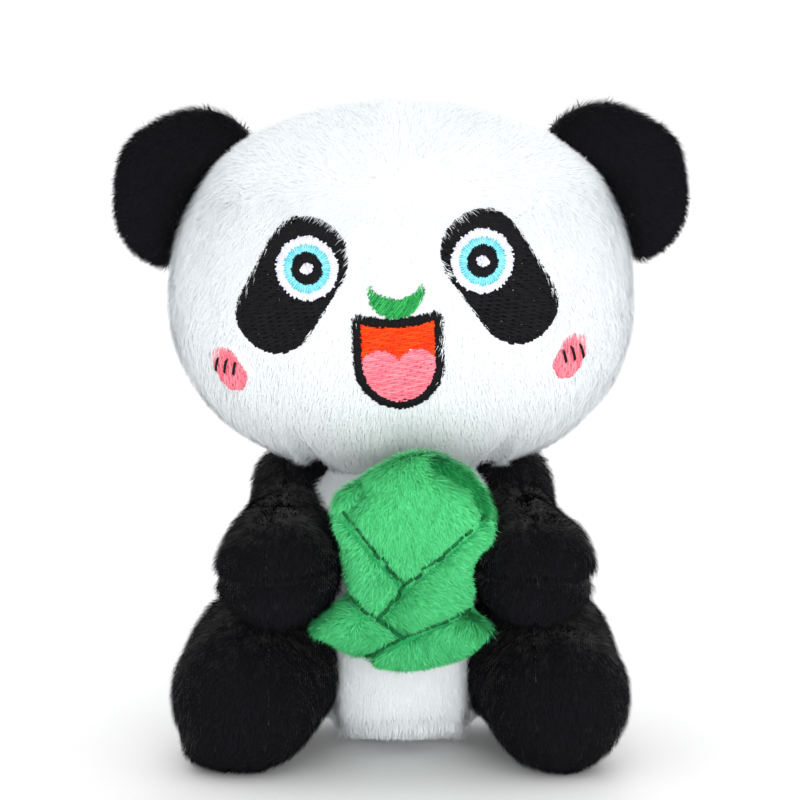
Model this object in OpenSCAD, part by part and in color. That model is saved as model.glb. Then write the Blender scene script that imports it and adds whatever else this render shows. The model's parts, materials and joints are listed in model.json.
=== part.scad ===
// Sitting plush panda that holds a bamboo shoot between its paws.
// Millimetres, +Z up. The origin is the centre of the flat seat and the face looks along -Y.
// Left and right are the toy's own sides, so left is +X.
// Every fabric solid ends at the knitted backing. The pile stands about 2 mm proud of it.

/* [Fabric and thread] */
// Thickness of the knitted backing with the roots of its pile
fabric_t = 1.2; // [0.8:0.1:1.4]
// Gap between two panels at a sewn seam
seam_gap = 0.1; // [0.05:0.05:0.2]
// Gap between a panel and the fibre fill behind it
fill_gap = 0.15; // [0.1:0.05:0.3]
// Gap between two bodies that move against each other
body_gap = 0.5; // [0.4:0.1:0.6]
// Thickness of the hand-sewing thread
thread_d = 0.7; // [0.5:0.1:0.7]
// Height of the embroidery over the backing
satin_h = 0.6; // [0.4:0.1:0.8]

/* [Head] */
// Half the width of the head across the cheeks
head_half_w = 45; // [44:0.5:46]
// Half the height and half the depth of the head
head_r = 36.5; // [36:0.5:37]
// Squareness of the head's outline, where 2 is an ellipse
head_square = 2.3; // [2.1:0.1:2.4]
// Height of the head's centre over the floor
head_z = 91; // [90.5:0.5:92]
// Roll of the embroidered face on the head, anticlockwise from the front
face_roll = 2.5; // [0:0.5:5]
// Sideways shift of the embroidered face
face_shift = -1; // [-2:0.5:2]

/* [Ears] */
// Distance of each ear's centre from the middle of the head
ear_x = 40.5; // [40:0.5:42]
// Height of the ear centres over the head's centre
ear_up = 19.6; // [18:0.5:20]
// Distance of the ears behind the head's centre
ear_back = 4; // [2:1:6]
// Radius of an ear
ear_r = 16.2; // [15:0.5:17]
// Half the thickness of an ear
ear_half_t = 5.3; // [5:0.1:5.6]
// Slope of the line from the head out through an ear
ear_lean = 33.6; // [30:1:36]
// Roll of the pair of ears, anticlockwise from the front
ear_roll = 0.85; // [0:0.25:1.5]

/* [Torso] */
// Largest radius of the torso
torso_r = 25; // [24.5:0.5:25.5]
// Height of the torso's widest ring
torso_wide_z = 17; // [16:0.5:18]
// Radius of the flat seat
seat_r = 14; // [12:0.5:15]
// Half the width of the belly between the legs and arms
belly_half_w = 13.6; // [13:0.2:13.8]
// Radius of the ball that the neck ends in
neck_r = 13.5; // [13.5:0.1:13.6]
// Height of the neck ball's centre
neck_z = 57; // [56.5:0.5:57]

/* [Arms] */
// Centre and radius of the left shoulder
shoulder = [22.5, -3, 45.3];
shoulder_r = 9; // [8.5:0.5:9]
// Centre and radius of the left paw
paw = [25.6, -30.6, 41.4];
paw_r = 10; // [9.6:0.2:10]

/* [Legs] */
// Centre and radius of the left hip
hip = [21, 2, 17.5];
hip_r = 13.5; // [13:0.5:13.5]
// Centre and radius of the left foot
foot = [30, -26.5, 14.3];
foot_r = 14.1; // [13:0.1:14.1]
// Extra radius halfway along a leg
thigh_bulge = 1.6; // [1:0.2:1.6]
// Distance of a leg's flat inner side from the middle
leg_inner_x = 15; // [14.8:0.1:15.2]

/* [Bamboo shoot] */
// Depth at which the shoot's two panels are seamed together
shoot_y = -37; // [-38:0.5:-36.5]
// Half the thickness of the stuffed shoot
shoot_half_t = 8.4; // [7.5:0.2:8.4]
// Radius of the shoot's round tip
shoot_tip_r = 15.4; // [14.5:0.2:15.6]

/* [Tail] */
// Radius of the tail where it meets the torso
tail_root_r = 6; // [5:0.5:6]
// Radius of the tail's tip
tail_tip_r = 6.2; // [5.5:0.1:6.2]
// Length of the tail from root to tip centres
tail_len = 3.5; // [3:0.5:5]

/* [Hidden] */
SIDES = ["left", "right"];

$fn = 64;
arc_step = 10;                       // degrees between the points of a round profile
big = 400;                           // size of the blocks that cut a form in half
white = "whitesmoke";
black = [0.1, 0.1, 0.11];
satin_black = [0.15, 0.15, 0.17];
fill_white = [0.95, 0.95, 0.92];
green = [0.25, 0.78, 0.48];
stitch_green = [0.05, 0.4, 0.2];

inner = fabric_t + fill_gap;         // depth of the fibre fill below a form's surface
satin_low = 0.1;                     // the embroidery starts just over the backing
satin_high = satin_low + satin_h;
neck = [0, 0, neck_z];
recess_r = neck_r + 1.5;             // radius of the hollow under the head
ring_r = (neck_r + recess_r) / 2;    // the neck threads run halfway between the two
shoulder_top_z = neck_z - 4;         // where the shoulders run into the neck ball
tail_root = [0, 24, 10];
side_seam_y = shoulder[1];           // plane of the torso's side seams
yoke_z = 36;                         // height where the yoke meets the back panels
base_seam_z = 2;                     // height of the seam round the base panel
tail_room = 0.8;                     // extra room round the tail's root for its wag

// Position of an eye, its patch's two circles and the cheek marks on the left of the face
eye = [16.5, 8.8];
eye_white_r = 5.5;
iris_r = 4.3;
pupil_r = 3;
glint_r = 1.25;
patch_low = [20.8, 2.6];
patch_low_r = 9.4;
patch_high = [16.6, 11.6];
patch_high_r = 7.6;
blush_high = [35.4, -8];
blush_high_r = 2.8;
blush_low = [32.4, -12];
blush_low_r = 3.1;
mouth_half_w = 8.5;
mouth_line_w = 1.6;

// ---- shared forms ----

// Keeps the part of its children on one side of a plane: axis 0, 1 or 2, side 1 or -1
module keep(axis, side, at) {
    centre = [for (i = [0:2]) i == axis ? at + side * big / 2 : 0];
    intersection() {
        children();
        translate(centre) cube(big, center = true);
    }
}

// Draws its children with their +Z from point p towards point q
module aim(p, q) {
    d = q - p;
    translate(p) rotate([0, acos(d[2] / norm(d)), atan2(d[1], d[0])]) children();
}

// Half outline of a stuffed limb: a round end, a plump middle and a round end
function limb_outline(length, r1, r2, bulge) = concat(
    [for (a = [-90:arc_step:-arc_step]) [r1 * cos(a), r1 * sin(a)]],
    [for (s = [0:0.125:1]) [r1 + (r2 - r1) * s + 4 * bulge * s * (1 - s), length * s]],
    [for (a = [arc_step:arc_step:90]) [r2 * cos(a), length + r2 * sin(a)]]
);

// Stuffed limb between two centres, grown by g all round
module limb(p, r1, q, r2, bulge, g = 0) {
    aim(p, q) rotate_extrude() polygon(limb_outline(norm(q - p), r1 + g, r2 + g, bulge));
}

// Egg outline: two circles and their outer tangents
module egg(p, r1, q, r2) {
    d = norm(q - p);
    a = atan2(q[1] - p[1], q[0] - p[0]);
    t = acos((r1 - r2) / d);
    steps = 24;
    polygon(concat(
        [for (i = [0:steps]) p + r1 * [cos(a + t + i * (360 - 2 * t) / steps),
                                       sin(a + t + i * (360 - 2 * t) / steps)]],
        [for (i = [0:steps]) q + r2 * [cos(a - t + i * 2 * t / steps),
                                       sin(a - t + i * 2 * t / steps)]]
    ));
}

// Draws its child as it is for the left side and mirrored for the right side
module on_side(side) {
    if (side == "left") children();
    else mirror([1, 0, 0]) children();
}

// Round thread ring in a level plane
module thread_ring(radius) {
    rotate_extrude() translate([radius, 0]) circle(thread_d / 2);
}

// ---- torso ----

function torso_outline(g) = concat(
    [[0, -g]],
    [for (a = [90:-arc_step:0])
        [seat_r + (torso_r - seat_r + g) * cos(a), torso_wide_z - (torso_wide_z + g) * sin(a)]],
    [for (a = [arc_step:arc_step:90])
        [neck_r - 0.5 + g + (torso_r - neck_r + 0.5) * pow(cos(a), 0.91),
         torso_wide_z + (shoulder_top_z - torso_wide_z) * pow(sin(a), 0.91)]],
    [for (a = [0:arc_step:90]) [(neck_r + g) * cos(a), neck_z + (neck_r + g) * sin(a)]]
);

// Torso with hollows for the hips, shoulders and tail and a narrow belly between the limbs
module torso_form(g = 0, room = body_gap) {
    difference() {
        rotate_extrude() polygon(torso_outline(g));
        for (side = SIDES) on_side(side) {
            limb(hip, hip_r, foot, foot_r, thigh_bulge, room);
            translate(shoulder) sphere(shoulder_r + room);
            translate([belly_half_w - room + body_gap, -big, -1])
                cube([big, big + shoulder[1], shoulder_top_z + 2]);
        }
        translate(tail_root) sphere(tail_tip_r + tail_room + room);
    }
}

module torso_skin() {
    difference() {
        torso_form();
        rotate_extrude() polygon(torso_outline(-fabric_t));
    }
}

module belly_panel() {
    color(white) keep(2, 1, base_seam_z) keep(1, -1, side_seam_y - seam_gap) torso_skin();
}

module back_yoke() {
    color(black) keep(2, 1, yoke_z) keep(1, 1, side_seam_y) torso_skin();
}

module back_panel(side) {
    color(white) on_side(side)
        keep(0, 1, seam_gap / 2) keep(1, 1, side_seam_y)
        keep(2, -1, yoke_z - seam_gap) keep(2, 1, base_seam_z) torso_skin();
}

module base_panel() {
    color(white) keep(2, -1, base_seam_z - seam_gap) torso_skin();
}

module torso_stuffing() {
    color(fill_white) torso_form(-inner, body_gap + inner);
}

// Ladder stitches that close the middle seam of the back after stuffing
module back_closing_stitch() {
    stitch_w = 2.4;
    color(white)
        for (z = [18:2:32]) {
            rise = (z - torso_wide_z) / (shoulder_top_z - torso_wide_z);
            a = asin(pow(rise, 1 / 0.91));
            back_y = neck_r - 0.5 + (torso_r - neck_r + 0.5) * pow(cos(a), 0.91);
            translate([0, back_y + thread_d / 2 + seam_gap, z]) rotate([0, 90, 0])
                cylinder(h = stitch_w, d = thread_d, center = true, $fn = 24);
        }
}

// ---- neck threads ----

// Thread that gathers the top of the neck inside the head
module neck_gather_thread() {
    rise = 6;
    color(white) translate(neck + [0, 0, rise]) thread_ring(sqrt(ring_r * ring_r - rise * rise));
}

// Thread of the ladder stitch that holds the head on the neck
module neck_ladder_stitch() {
    rise = 1;
    color(white) translate(neck + [0, 0, rise]) thread_ring(sqrt(ring_r * ring_r - rise * rise));
}

// ---- head ----

function head_outline(g) = [
    for (a = [-90:7.5:90])
        let (c = pow(abs(cos(a)), 2 / head_square), s = pow(abs(sin(a)), 2 / head_square))
        [(head_r + g) * c, (head_half_w + g) * s * sign(a)]
];

// Head as a round form about the line through the cheeks, grown by g all round
module head_solid(g = 0) {
    rotate([0, 90, 0]) rotate_extrude() polygon(head_outline(g));
}

module head_form(g = 0, room = 0) {
    difference() {
        translate([0, 0, head_z]) head_solid(g);
        translate(neck) sphere(recess_r + room);
    }
}

module head_skin() {
    difference() {
        head_form();
        translate([0, 0, head_z]) head_solid(-fabric_t);
    }
}

module face_panel() {
    color(white) keep(1, -1, ear_back - seam_gap) head_skin();
}

module head_back(side) {
    color(white) on_side(side) keep(0, 1, seam_gap / 2) keep(1, 1, ear_back) head_skin();
}

// Stiff backing that keeps the face flat under its embroidery
module face_stabiliser() {
    outer = -fabric_t - seam_gap;
    color(fill_white) translate([0, 0, head_z]) intersection() {
        difference() {
            head_solid(outer);
            head_solid(outer - 0.4);
        }
        translate([-32, -big, -22]) cube([64, big - 5, 44]);
    }
}

module head_stuffing() {
    color(fill_white) head_form(-inner - 0.6, inner);
}

// ---- embroidery on the face ----

// Presses a flat outline onto the face as a pad between two heights over the backing
module satin(low = satin_low, high = satin_high) {
    translate([0, 0, head_z]) intersection() {
        difference() {
            head_solid(high);
            head_solid(low);
        }
        rotate([0, -face_roll, 0]) translate([face_shift, 0, 0]) rotate([90, 0, 0])
            linear_extrude(big) children();
    }
}

// Draws a flat outline for the left of the face, or mirrored for the right
module face_side(side) {
    if (side == "left") children();
    else mirror([1, 0]) children();
}

module eye_patch(side) {
    color(satin_black) satin() face_side(side) difference() {
        egg(patch_low, patch_low_r, patch_high, patch_high_r);
        translate(eye) circle(eye_white_r);
    }
}

// Ring of satin round an eye's centre
module eye_ring(side, outer_r, inner_r) {
    satin() face_side(side) translate(eye) difference() {
        circle(outer_r - seam_gap);
        circle(inner_r);
    }
}

module eye_white(side) { color("white") eye_ring(side, eye_white_r, iris_r); }

module iris(side) { color("skyblue") eye_ring(side, iris_r, pupil_r); }

module pupil(side) { color(black) eye_ring(side, pupil_r, glint_r); }

module eye_glint(side) {
    color("white") satin() face_side(side) translate(eye) circle(glint_r - seam_gap);
}

// Crescent nose over the mouth
module nose() {
    color("seagreen") satin() difference() {
        translate([0, 4.2]) circle(5);
        translate([0, 8]) circle(5.7);
    }
}

// Open mouth, set in by i from its outer edge: a dipped top edge, straight sides and a round chin
module mouth_shape(i) {
    w = mouth_half_w - i;
    top = 0.3 - i;
    dip = 1.6;
    side_z = -9.5;
    depth = 9.2 - i;
    polygon(concat(
        [for (s = [-1:0.25:1]) [w * s, top - dip * (1 - s * s)]],
        [for (a = [0:-arc_step:-180]) [w * cos(a), side_z + depth * sin(a)]]
    ));
}

// Heart-topped tongue that fills the lower half of the mouth, set in by i
module tongue_shape(i) {
    intersection() {
        mouth_shape(mouth_line_w + i);
        union() {
            for (x = [-3.6, 3.6]) translate([x, -11.4]) circle(4.2 - i);
            translate([-mouth_half_w, -20]) square([2 * mouth_half_w, 8.6]);
        }
    }
}

module mouth_outline() {
    color(satin_black) satin() difference() {
        mouth_shape(0);
        mouth_shape(mouth_line_w);
    }
}

module mouth_fill() {
    color("orangered") satin() difference() {
        mouth_shape(mouth_line_w + seam_gap);
        tongue_shape(0);
    }
}

module tongue() {
    color("palevioletred") satin() tongue_shape(seam_gap);
}

module cheek_blush(side) {
    color("pink") satin() face_side(side) egg(blush_low, blush_low_r, blush_high, blush_high_r);
}

// Three short straight strokes over the blush
module cheek_marks(side) {
    stroke = [0.7, 3.4];
    lean = 12;
    color(satin_black) satin(satin_high + seam_gap, satin_high + satin_h) face_side(side)
        for (i = [-1:1])
            translate((blush_high + blush_low) / 2 + i * [1.7, 0.4]) rotate(lean)
                square(stroke, center = true);
}

// ---- ears ----

ear_ball_r = (ear_r * ear_r + ear_half_t * ear_half_t) / (2 * ear_half_t);
ear_hinge = 5.2;                     // distance of the fold line from the ear's centre

// Draws its child at an ear: +X points out of the head and Y is the ear's thickness
module at_ear(side) {
    translate([0, ear_back, head_z]) rotate([0, -ear_roll, 0]) on_side(side)
        translate([ear_x, 0, ear_up]) rotate([0, -ear_lean, 0]) children();
}

// Thin disc with two crowned faces
module ear_lens(g) {
    offset_y = ear_ball_r - ear_half_t;
    intersection_for (side = [-1, 1])
        translate([0, side * offset_y, 0]) sphere(ear_ball_r + g, $fn = 160);
}

// Lens-shaped ear, rounded about its fold line at the root
module ear_form(g = 0) {
    intersection() {
        ear_lens(g);
        union() {
            translate([ear_hinge, -big / 2, -big / 2]) cube(big);
            translate([ear_hinge, 0, 0]) cylinder(h = big, r = ear_hinge + g, center = true);
        }
    }
}

module ear_half(side, facing) {
    color(black) at_ear(side) keep(1, facing, facing * seam_gap / 2) difference() {
        ear_form();
        ear_form(-fabric_t);
    }
}

module ear_front(side) { ear_half(side, -1); }

module ear_back(side) { ear_half(side, 1); }

module ear_stuffing(side) { color(fill_white) at_ear(side) ear_form(-inner); }

// ---- arms ----

module arm_form(g = 0) { limb(shoulder, shoulder_r, paw, paw_r, 0, g); }

// One of an arm's two panels: facing 1 is the outer panel
module arm_half(side, facing) {
    color(black) on_side(side) difference() {
        aim(shoulder, paw) keep(1, facing, facing * seam_gap / 2)
            rotate_extrude() polygon(limb_outline(norm(paw - shoulder), shoulder_r, paw_r, 0));
        arm_form(-fabric_t);
    }
}

module arm_outer(side) { arm_half(side, 1); }

module arm_inner(side) { arm_half(side, -1); }

module arm_stuffing(side) { color(fill_white) on_side(side) arm_form(-inner); }

// ---- legs ----

// Leg with a flat inner side ahead of its hip and a flat sole
module leg_form(g = 0) {
    keep(2, 1, 0.2 - g) union() {
        keep(0, 1, leg_inner_x - g) limb(hip, hip_r, foot, foot_r, thigh_bulge, g);
        translate(hip) sphere(hip_r - 0.2 + g);
    }
}

// One of a leg's two panels: facing 1 is the outer panel
module leg_half(side, facing) {
    seam_x = (hip[0] + foot[0]) / 2;
    color(black) on_side(side) keep(0, facing, seam_x + facing * seam_gap / 2) difference() {
        leg_form();
        leg_form(-fabric_t);
    }
}

module leg_outer(side) { leg_half(side, 1); }

module leg_inner(side) { leg_half(side, -1); }

module leg_stuffing(side) { color(fill_white) on_side(side) leg_form(-inner); }

// ---- bamboo shoot ----

shoot_tip = [2, 49];
shoot_foot_z = 23.4;
shoot_half_h = 22;
shoot_mid_z = 43;

// Outline of the shoot: a round tip, a waist between the paws and a flared foot
module shoot_outline(g) {
    translate(shoot_tip) circle(shoot_tip_r + g);
    polygon([
        [-11 - g, 46], [-10.6 - g, 37.5], [-11 - g, 35.6], [-16.8 - g, 31.6 + g], [-15.8 - g, 27],
        [-12 - g, 24.6 - g], [-6, shoot_foot_z - g], [4, shoot_foot_z - g], [12.4 + g, 25.8 - g],
        [16.8 + g, 29], [14 + g, 33.2 + g], [12 + g, 37.5], [13 + g, 44]
    ]);
}

function lens_r(half_w) = (half_w * half_w + shoot_half_t * shoot_half_t) / (2 * shoot_half_t);

// Stuffed shoot: its outline, crowned across and along its front and back
module shoot_form(g = 0) {
    across_r = lens_r(18.5);
    along_r = lens_r(shoot_half_h + 2);
    translate([0, shoot_y, 0]) intersection() {
        rotate([90, 0, 0]) linear_extrude(big, center = true) shoot_outline(g);
        intersection_for (side = [-1, 1])
            translate([shoot_tip[0] / 2, side * (across_r - shoot_half_t), 0])
                cylinder(h = big, r = across_r + g);
        intersection_for (side = [-1, 1])
            translate([0, side * (along_r - shoot_half_t), shoot_mid_z]) rotate([0, 90, 0])
                cylinder(h = big, r = along_r + g, center = true);
    }
}

module shoot_skin() {
    difference() {
        shoot_form();
        shoot_form(-fabric_t);
    }
}

module shoot_front() { color(green) keep(1, -1, shoot_y - seam_gap / 2) shoot_skin(); }

module shoot_back() { color(green) keep(1, 1, shoot_y + seam_gap / 2) shoot_skin(); }

module shoot_stuffing() { color(fill_white) shoot_form(-inner); }

// A straight run of stitching between two points of the shoot's front
module stitch_run(p, q) {
    a = atan2(q[1] - p[1], q[0] - p[0]);
    translate(p) rotate(a) translate([0, -thread_d / 2]) square([norm(q - p), thread_d]);
}

// Crossing rows of stitching that draw the husk leaves on the shoot's front
module shoot_topstitching() {
    middle = [0, 40.5];
    low = [0, 30];
    color(stitch_green) intersection() {
        difference() {
            shoot_form(satin_high);
            shoot_form(satin_low);
        }
        translate([0, shoot_y, 0]) rotate([90, 0, 0]) linear_extrude(big) {
            stitch_run([-10.6, 52.4], middle);
            stitch_run([14.6, 52.4], [-5, 34.2]);
            stitch_run([-9.6, 36.6], low);
            stitch_run([11.6, 34.6], [-7.4, 25.6]);
        }
    }
}

// Short threads that tack the shoot to the inside of both paws
module paw_tacks() {
    reach = paw[0] - paw_r - body_gap;
    color(stitch_green) difference() {
        translate([0, paw[1], paw[2]]) rotate([0, 90, 0])
            cylinder(h = 2 * reach, d = thread_d, center = true, $fn = 24);
        shoot_form(seam_gap / 2);
    }
}

// ---- tail ----

module tail_form(g = 0) {
    limb(tail_root, tail_root_r, tail_root + [0, tail_len, 1], tail_tip_r, 0, g);
}

module tail_panel() {
    color(white) difference() {
        tail_form();
        tail_form(-fabric_t);
    }
}

module tail_stuffing() { color(fill_white) tail_form(-inner); }

// ---- assembly ----

belly_panel();
back_yoke();
base_panel();
torso_stuffing();
back_closing_stitch();
face_panel();
face_stabiliser();
head_stuffing();
nose();
mouth_outline();
mouth_fill();
tongue();
neck_gather_thread();
neck_ladder_stitch();
shoot_front();
shoot_back();
shoot_stuffing();
shoot_topstitching();
paw_tacks();
tail_panel();
tail_stuffing();
for (side = SIDES) {
    back_panel(side);
    head_back(side);
    eye_patch(side);
    eye_white(side);
    iris(side);
    pupil(side);
    eye_glint(side);
    cheek_blush(side);
    cheek_marks(side);
    ear_front(side);
    ear_back(side);
    ear_stuffing(side);
    arm_outer(side);
    arm_inner(side);
    arm_stuffing(side);
    leg_outer(side);
    leg_inner(side);
    leg_stuffing(side);
}
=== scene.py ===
import json
import math

import bmesh
import bpy
import numpy as np
from mathutils import Matrix, Vector
from mathutils.bvhtree import BVHTree


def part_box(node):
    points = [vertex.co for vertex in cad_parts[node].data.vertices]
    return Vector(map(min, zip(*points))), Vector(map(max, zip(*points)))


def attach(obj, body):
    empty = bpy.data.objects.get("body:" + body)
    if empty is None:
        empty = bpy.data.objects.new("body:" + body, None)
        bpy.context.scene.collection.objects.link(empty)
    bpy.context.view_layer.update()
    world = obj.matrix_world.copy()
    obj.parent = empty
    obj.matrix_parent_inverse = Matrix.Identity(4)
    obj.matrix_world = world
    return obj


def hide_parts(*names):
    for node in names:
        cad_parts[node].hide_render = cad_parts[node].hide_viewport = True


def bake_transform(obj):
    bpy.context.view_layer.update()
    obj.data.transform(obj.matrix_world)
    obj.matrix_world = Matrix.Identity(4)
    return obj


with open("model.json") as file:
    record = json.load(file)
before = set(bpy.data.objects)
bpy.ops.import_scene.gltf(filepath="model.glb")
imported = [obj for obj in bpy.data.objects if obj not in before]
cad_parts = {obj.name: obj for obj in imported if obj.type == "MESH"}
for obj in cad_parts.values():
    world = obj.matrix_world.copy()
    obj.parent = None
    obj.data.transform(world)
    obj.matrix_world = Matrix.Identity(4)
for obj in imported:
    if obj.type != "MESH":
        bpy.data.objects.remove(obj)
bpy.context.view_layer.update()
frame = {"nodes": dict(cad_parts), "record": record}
mm = 0.001

# ---- Head: the form ----
# The head is a round bag of white short-pile plush, filled hard with polyester fibre.
# It is sewn from a face panel and two back panels, so it is modelled whole, filled, then cut at the seams.

low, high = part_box("face_panel")
head_half_w = (high.x - low.x) / 2 / mm
head_r = -low.y / mm
head_centre = Vector((0, 0, high.z / mm - head_r))
head_square = 2.3
ear_seam_y = 4
neck_hollow_r = 15
crown_dart_z, chin_dart_z = 111, 69
skin_voxel = 1.4
fill_frames = 20
sim_scale = 10


def joint(name):
    """Where a joint of the record is, in mm, and its axis"""
    found = next(j for j in frame["record"]["behaviour"]["joints"] if j["name"] == name)
    return Vector(found["pos_m"]) / mm, Vector(found["axis"]).normalized()


neck = joint("head_turn")[0]


def waves(seed, wavelength):
    """A smooth random field over points in mm, from about -1 to 1"""
    draw = np.random.default_rng(seed)
    turns = draw.normal(size=(7, 3)) * 2 * math.pi / wavelength / 1.7
    shifts = draw.uniform(0, 2 * math.pi, 7)
    return lambda points: np.sin(points @ turns.T + shifts).sum(1) / 3.0


def places(form):
    """The vertices of a form as an array"""
    return np.array([v.co for v in form.verts])


def move(form, points):
    """Puts a form's vertices at an array of points"""
    for v, p in zip(form.verts, points):
        v.co = p
    form.normal_update()


def unit_rows(vectors):
    """Each row of an array at unit length"""
    return vectors / np.maximum(np.linalg.norm(vectors, axis=1, keepdims=True), 1e-9)


def as_object(name, form):
    """A new object with a form's mesh, from mm to metres"""
    mesh = bpy.data.meshes.new(name)
    form.to_mesh(mesh)
    mesh.transform(Matrix.Scale(mm, 4))
    mesh.shade_smooth()
    made = bpy.data.objects.new(name, mesh)
    bpy.context.scene.collection.objects.link(made)
    return made


def stuff(form, pressure, cap, seams):
    """Swells a closed form with fibre fill. It is simulated at ten times its size, held along its
    seams, and no point moves further than cap"""
    trial = as_object("trial", form)
    trial.data.transform(Matrix.Scale(sim_scale, 4))
    before = places(form)
    held = trial.vertex_groups.new(name="held")
    for i, weight in enumerate(seams(before)):
        held.add([i], float(weight), "REPLACE")
    cloth = trial.modifiers.new("fill", "CLOTH")
    cloth.settings.quality = 4
    cloth.settings.mass = 0.1
    cloth.settings.tension_stiffness = 12
    cloth.settings.compression_stiffness = 6
    cloth.settings.bending_stiffness = 0.3
    cloth.settings.use_pressure = True
    cloth.settings.uniform_pressure_force = pressure
    cloth.settings.effector_weights.gravity = 0
    cloth.point_cache.frame_end = fill_frames
    cloth.settings.vertex_group_mass = "held"
    for f in range(1, fill_frames + 1):
        bpy.context.scene.frame_set(f)
    swollen = trial.evaluated_get(bpy.context.evaluated_depsgraph_get()).data
    after = np.empty(len(swollen.vertices) * 3)
    swollen.vertices.foreach_get("co", after)
    after = after.reshape(-1, 3) / (mm * sim_scale)
    bpy.data.objects.remove(trial)
    bpy.context.scene.frame_set(1)
    step = after - before
    length = np.linalg.norm(step, axis=1, keepdims=True)
    step *= np.minimum(1, cap / np.maximum(length, 1e-6))
    move(form, before + step)


def as_form(made):
    """The form of an object with its modifiers applied, in mm, in place of the object"""
    form = bmesh.new()
    form.from_mesh(made.evaluated_get(bpy.context.evaluated_depsgraph_get()).data)
    bpy.data.objects.remove(made)
    bmesh.ops.scale(form, vec=(1 / mm,) * 3, verts=form.verts)
    form.normal_update()
    return form


def finer(form):
    """A form with its faces divided and rounded, as a finer knit would follow it"""
    coarse = as_object("coarse", form)
    rounding = coarse.modifiers.new("rounding", "SUBSURF")
    rounding.levels = rounding.render_levels = 1
    return as_form(coarse)


def remeshed(form, passes):
    """A form as one even skin, smoothed"""
    rough = as_object("rough", form)
    skin = rough.modifiers.new("skin", "REMESH")
    skin.mode = "VOXEL"
    skin.voxel_size = skin_voxel * mm
    even = as_form(rough)
    axes = {"use_axis_x": True, "use_axis_y": True, "use_axis_z": True}
    for _ in range(passes):
        bmesh.ops.smooth_vert(even, verts=even.verts, factor=0.5, **axes)
    even.normal_update()
    return even


def plump(balls, passes=5):
    """A closed form round a chain of balls, each given by its centre and radius"""
    lump = bmesh.new()
    for (p, r0), (q, r1) in zip(balls, balls[1:]):
        for t in np.linspace(0, 1, 8):
            at = Matrix.Translation(Vector(p).lerp(Vector(q), t))
            bmesh.ops.create_icosphere(lump, subdivisions=4, radius=r0 + (r1 - r0) * t, matrix=at)
    return remeshed(lump, passes=passes)


def near(distance, width):
    """How much a seam draws in the fabric at a distance from it"""
    return np.exp(-((distance / width) ** 2))


def crease(form, depth_at):
    """Draws a form in along its own normals by a depth at each point"""
    points = places(form)
    normals = np.array([v.normal for v in form.verts])
    move(form, points - normals * depth_at(points)[:, None])


def head_seams(points):
    """Where the three head panels are held together, as weights"""
    front_back = near(points[:, 1] - ear_seam_y, 1.6)
    middle = near(points[:, 0], 1.6) * (points[:, 1] > ear_seam_y)
    return np.maximum(front_back, middle)


head_form = bmesh.new()
bmesh.ops.create_icosphere(head_form, subdivisions=5, radius=1)
rays = places(head_form)
round_part = np.hypot(rays[:, 1], rays[:, 2])
reach = (np.abs(rays[:, 0]) ** head_square + round_part**head_square) ** (-1 / head_square)
head_shape = rays * reach[:, None] * [head_half_w + 0.2, head_r + 0.2, head_r + 0.3]
# the cheeks are fuller than an even round
cheek = near(head_shape[:, 2] + 14, 14) * (np.abs(head_shape[:, 0]) / head_half_w) ** 2
head_shape[:, 0] *= 1 + 0.012 * cheek
move(head_form, head_shape + np.array(head_centre))
stuff(head_form, pressure=2.2, cap=0.9, seams=head_seams)
head_core = head_form.copy()
head_form = finer(head_form)
head_lumps = waves(3, 26)


def head_dents(points):
    """Depth of the head's seams, its forehead and chin darts and the slack between them"""
    x, y, z = points.T
    back_seams = 0.75 * head_seams(points)
    front = y < 0
    crown_dart = near(x + 0.5 + 0.12 * (z - 120), 1.1) * np.clip((z - crown_dart_z) / 8, 0, 1) * front
    chin_darts = sum(
        near(x - side * (17 + 0.5 * (z - 58)), 1.3) * np.clip((chin_dart_z - z) / 8, 0, 1) * front
        for side in (-1, 1)
    )
    return back_seams + 0.5 * crown_dart + 1.7 * chin_darts + 0.25 * head_lumps(points)


crease(head_form, head_dents)
head_skin = BVHTree.FromBMesh(head_form)

# ---- Head: panels of white plush ----
# Each panel is a thin warp-knitted backing. It is cut at its seams and turned in a little along them.

knit_t = 0.9


class Socket:
    """One output in a material's nodes. Arithmetic on it adds Math nodes"""

    def __init__(self, out):
        self.out = out

    def maths(self, operation, *others):
        return node(self.out.id_data, "ShaderNodeMath", {"operation": operation}, self, *others)

    def __add__(self, other):
        return self.maths("ADD", other)

    def __mul__(self, other):
        return self.maths("MULTIPLY", other)

    def __sub__(self, other):
        return self.maths("SUBTRACT", other)

    def __rsub__(self, other):
        return (self * -1) + other

    def __pow__(self, other):
        return self.maths("POWER", other)

    __radd__, __rmul__ = __add__, __mul__


def node(tree, kind, settings, *inputs, output=0, **named):
    """Adds a node: its settings first, then its sockets by place or by name. Returns one output"""
    made = tree.nodes.new(kind)
    for key, value in settings.items():
        setattr(made, key, value)
    chosen = list(zip(made.inputs, inputs))
    chosen += [(made.inputs[key.replace("_", " ")], value) for key, value in named.items()]
    for socket, value in chosen:
        if isinstance(value, Socket):
            tree.links.new(value.out, socket)
        else:
            socket.default_value = value
    return Socket(made.outputs[output])


def finish(name, **constants):
    """A new material with one Principled shader. Constant sockets are set on the shader itself"""
    material = bpy.data.materials.new(name)
    material.use_nodes = True
    shader = material.node_tree.nodes["Principled BSDF"]
    for key, value in constants.items():
        shader.inputs[key.replace("_", " ")].default_value = value
    return material, material.node_tree, shader


def feed(tree, shader, **sockets):
    """Links what changes over a surface to the shader"""
    for key, value in sockets.items():
        tree.links.new(value.out, shader.inputs[key.replace("_", " ")])


def colour(red, green, blue):
    """A linear colour from the usual 0 to 255 values"""
    return tuple((c / 255) ** 2.2 for c in (red, green, blue)) + (1,)


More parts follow.
